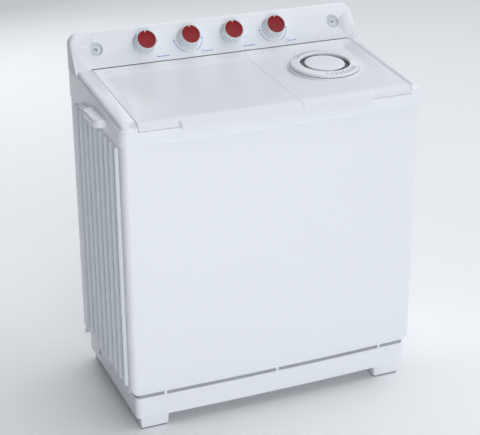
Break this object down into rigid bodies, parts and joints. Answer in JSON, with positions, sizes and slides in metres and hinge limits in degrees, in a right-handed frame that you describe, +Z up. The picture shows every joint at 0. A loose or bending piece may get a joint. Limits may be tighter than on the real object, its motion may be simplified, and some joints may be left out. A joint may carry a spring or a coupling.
{
  "type": "twin tub washer",
  "caption": "Free-standing twin tub washer: wash tub with pulsator beside a spin basket, two hinged lids, sloping console with knobs, fluted sides and box feet.",
  "frame": {"origin": "on the floor, under the middle of the washer's overall box", "axes": "+X to the right seen from the front, +Y to the back, +Z up"},
  "size_m": [0.9246, 0.492, 1.019],
  "materials": {
    "white_shell": "semi-gloss moulded plastic with a cool tint",
    "side_shell": "satin moulded plastic",
    "lid_plastic": "polished moulded plastic",
    "tub_plastic": "satin moulded plastic",
    "knob_silver": "silvery fluted plastic",
    "knob_red": "dark red cap, satin",
    "print_blue": "printed ink",
    "bright_steel": "turned",
    "basket_steel": "brushed, perforated",
    "zinc_sheet": "zinc-plated sheet",
    "motor_iron": "black varnish",
    "cast_aluminium": "as cast",
    "black_rubber": "matt",
    "dark_plastic": "fine grain",
    "grey_plastic": "satin",
    "blue_plastic": "semi-gloss"
  },
  "bodies": {
    "cabinet": {"base_plinth": "white_shell", "foot_front_left": "white_shell", "foot_front_right": "white_shell", "foot_rear_left": "white_shell", "foot_rear_right": "white_shell", "front_panel": "white_shell", "side_panel_left": "side_shell", "side_panel_right": "side_shell", "rear_panel": "side_shell", "service_cover": "zinc_sheet", "top_frame": "white_shell", "handle_left": "white_shell", "handle_right": "white_shell", "hose_hook": "white_shell", "hinge_rod_wash": "bright_steel", "hinge_rod_spin": "bright_steel", "console_housing": "white_shell", "console_back_cover": "dark_plastic", "wash_selector_switch": "dark_plastic", "wash_timer_case": "dark_plastic", "drain_selector_switch": "dark_plastic", "spin_timer_case": "dark_plastic", "console_screw_left": "bright_steel", "console_screw_right": "bright_steel", "water_inlet": "white_shell", "cord_gland": "black_rubber", "wash_tub": "tub_plastic", "shaft_housing": "cast_aluminium", "v_belt": "black_rubber", "motor_bracket": "zinc_sheet", "wash_motor": "motor_iron", "drain_valve": "dark_plastic", "drain_pipe": "grey_plastic", "drain_outlet": "white_shell", "overflow_guard": "tub_plastic", "spin_outer_tub": "tub_plastic", "shaft_seal": "black_rubber", "spin_motor": "motor_iron", "spin_motor_plate": "zinc_sheet", "suspension_spring_front": "bright_steel", "suspension_spring_left": "bright_steel", "suspension_spring_right": "bright_steel", "run_capacitor": "dark_plastic"},
    "wash_lid": {"wash_lid": "lid_plastic"},
    "spin_lid": {"spin_lid": "lid_plastic", "vent_grille": "lid_plastic"},
    "vent_dial": {"vent_dial": "lid_plastic"},
    "wash_selector_knob": {"wash_selector_knob": "knob_silver"},
    "wash_timer_knob": {"wash_timer_knob": "knob_silver"},
    "drain_selector_knob": {"drain_selector_knob": "knob_silver"},
    "spin_timer_knob": {"spin_timer_knob": "knob_silver"},
    "pulsator_rotor": {"pulsator": "blue_plastic", "pulsator_shaft": "bright_steel", "drive_pulley": "cast_aluminium"},
    "motor_pulley": {"motor_pulley": "bright_steel"},
    "spin_rotor": {"spin_basket": "basket_steel", "basket_shaft": "bright_steel", "brake_drum": "cast_aluminium"},
    "brake_lever": {"brake_lever": "zinc_sheet"},
    "lint_filter": {"lint_filter": "blue_plastic"}
  },
  "joints": [
    {"name": "wash_lid_hinge", "type": "hinge", "parent": "cabinet", "child": "wash_lid", "pos_m": [-0.158, 0.144, 0.91492], "axis": [-1, 0, 0], "range_deg": [0, 80]},
    {"name": "spin_lid_hinge", "type": "hinge", "parent": "cabinet", "child": "spin_lid", "pos_m": [0.2325, 0.144, 0.91492], "axis": [-1, 0, 0], "range_deg": [0, 80]},
    {"name": "vent_dial_turn", "type": "hinge", "parent": "spin_lid", "child": "vent_dial", "pos_m": [0.2385, -0.0155, 0.91662], "axis": [0, -0.0769, 0.997], "range_deg": [0, 60]},
    {"name": "wash_selector_turn", "type": "hinge", "parent": "cabinet", "child": "wash_selector_knob", "pos_m": [-0.22175, 0.19186, 0.97709], "axis": [0, 0.8119, -0.5838], "range_deg": [-45, 45]},
    {"name": "wash_timer_turn", "type": "hinge", "parent": "cabinet", "child": "wash_timer_knob", "pos_m": [-0.09125, 0.19186, 0.97709], "axis": [0, 0.8119, -0.5838], "range_deg": [0, 300]},
    {"name": "drain_selector_turn", "type": "hinge", "parent": "cabinet", "child": "drain_selector_knob", "pos_m": [0.03925, 0.19186, 0.97709], "axis": [0, 0.8119, -0.5838], "range_deg": [-45, 45]},
    {"name": "spin_timer_turn", "type": "hinge", "parent": "cabinet", "child": "spin_timer_knob", "pos_m": [0.16975, 0.19186, 0.97709], "axis": [0, 0.8119, -0.5838], "range_deg": [0, 300]},
    {"name": "pulsator_turn", "type": "hinge", "parent": "cabinet", "child": "pulsator_rotor", "pos_m": [-0.173, -0.035, 0.35], "axis": [0, 0, 1], "continuous": true},
    {"name": "motor_pulley_turn", "type": "hinge", "parent": "cabinet", "child": "motor_pulley", "pos_m": [-0.338, 0.075, 0.2], "axis": [0, 0, 1], "continuous": true},
    {"name": "basket_turn", "type": "hinge", "parent": "cabinet", "child": "spin_rotor", "pos_m": [0.2325, -0.0365, 0.35], "axis": [0, 0, 1], "continuous": true},
    {"name": "brake_lever_turn", "type": "hinge", "parent": "cabinet", "child": "brake_lever", "pos_m": [0.3125, 0.0375, 0.24], "axis": [0, 0, -1], "range_deg": [0, 3.4]},
    {"name": "lint_filter_lift", "type": "slide", "parent": "cabinet", "child": "lint_filter", "axis": [0, 0, 1], "range_m": [0, 0.06]}
  ],
  "couplings": [
    {"joint": "motor_pulley_turn", "follows": "pulsator_turn", "ratio": 4.6},
    {"joint": "brake_lever_turn", "follows": "spin_lid_hinge", "ratio": 0.0425}
  ]
}
